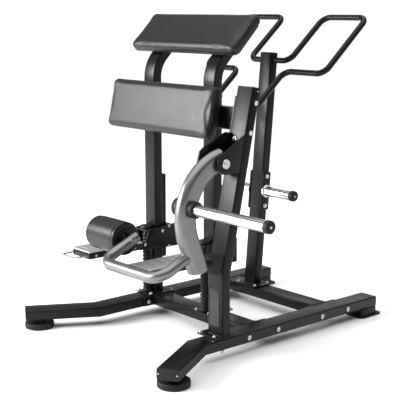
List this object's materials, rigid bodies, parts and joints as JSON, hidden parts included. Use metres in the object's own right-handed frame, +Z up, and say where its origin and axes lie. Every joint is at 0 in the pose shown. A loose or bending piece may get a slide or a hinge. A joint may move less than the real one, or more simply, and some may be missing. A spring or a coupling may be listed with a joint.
{
  "type": "plate-loaded standing leg curl machine",
  "caption": "Plate-loaded strength machine: box-tube frame, chest and thigh pads, swinging arm with ankle roller and weight horn, lift-adjustable footplates, loop handles and plate pegs.",
  "frame": {"origin": "on the floor, under the middle of the machine's bounding box", "axes": "+Z up, +Y the way the user faces, from the footplates towards the handles, +X to the user's right, the side of the swinging arm and its column"},
  "size_m": [1.4606, 1.5262, 1.494],
  "materials": {
    "frame": "satin black powder coat",
    "arm_paint": "metallic silver-grey lacquer",
    "chrome": "polished chrome plate",
    "alloy": "brushed, with cut grip slots",
    "steel": "zinc-plated turned pin",
    "vinyl": "grained black upholstery vinyl with sewn edges",
    "foam": "satin black skinned foam",
    "rubber": "matte black moulded rubber",
    "plastic": "black moulded plastic",
    "board": "black-stained plywood"
  },
  "bodies": {
    "frame": {"column_cap": "plastic", "cross_front": "frame", "cross_rear": "frame", "foot_front_left": "rubber", "foot_front_right": "rubber", "foot_rear_left": "frame", "foot_rear_right": "frame", "handle_left": "frame", "handle_right": "frame", "index_bar_left": "frame", "index_bar_right": "frame", "lower_pad": "vinyl", "lower_pad_board": "board", "main_column": "frame", "pad_bracket_left": "frame", "pad_bracket_right": "frame", "peg_cap_left": "rubber", "peg_cap_right": "rubber", "peg_plate_left": "frame", "peg_plate_right": "frame", "pivot_pin": "steel", "pivot_plate_inner": "frame", "pivot_plate_outer": "frame", "post_cap": "plastic", "rail_cap_left_front": "plastic", "rail_cap_left_rear": "plastic", "rail_cap_right_front": "plastic", "rail_cap_right_rear": "plastic", "rail_left": "frame", "rail_right": "frame", "rear_post": "frame", "stop_pad": "rubber", "storage_peg_left": "chrome", "storage_peg_right": "chrome", "strut_boot_left": "rubber", "strut_boot_right": "rubber", "tie_middle": "frame", "tie_right": "frame", "upper_pad": "vinyl", "upper_pad_board": "board", "upright_left": "frame", "upright_right": "frame"},
    "arm": {"swing_arm": "arm_paint", "u_tube": "arm_paint", "weight_horn": "chrome", "horn_collar": "rubber", "horn_cap": "rubber", "arm_bumper": "rubber", "roller_shaft": "arm_paint"},
    "roller": {"ankle_roller": "foam", "roller_cap_left": "plastic", "roller_cap_right": "plastic"},
    "platform_left": {"carriage_left": "frame", "footplate_left": "alloy", "strut_cap_left": "plastic"},
    "platform_right": {"carriage_right": "frame", "footplate_right": "alloy", "strut_cap_right": "plastic"},
    "lever_left": {"release_lever_left": "chrome"},
    "lever_right": {"release_lever_right": "chrome"}
  },
  "joints": [
    {"name": "arm_swing", "type": "hinge", "parent": "frame", "child": "arm", "pos_m": [0.23329, -0.30977, 0.867], "axis": [-1, 0, 0], "range_deg": [0, 110]},
    {"name": "roller_spin", "type": "hinge", "parent": "arm", "child": "roller", "pos_m": [-0.30821, -0.48477, 0.485], "axis": [1, 0, 0], "continuous": true},
    {"name": "platform_left_lift", "type": "slide", "parent": "frame", "child": "platform_left", "axis": [0, 0, 1], "range_m": [0, 0.2]},
    {"name": "lever_left_lift", "type": "hinge", "parent": "platform_left", "child": "lever_left", "pos_m": [-0.51151, -0.49477, 0.364], "axis": [-1, 0, 0], "range_deg": [0, 15], "stiffness_Nm_per_rad": 2, "springref_deg": -11.46},
    {"name": "platform_right_lift", "type": "slide", "parent": "frame", "child": "platform_right", "axis": [0, 0, 1], "range_m": [0, 0.2]},
    {"name": "lever_right_lift", "type": "hinge", "parent": "platform_right", "child": "lever_right", "pos_m": [-0.06591, -0.49477, 0.364], "axis": [-1, 0, 0], "range_deg": [0, 15], "stiffness_Nm_per_rad": 2, "springref_deg": -11.46}
  ]
}
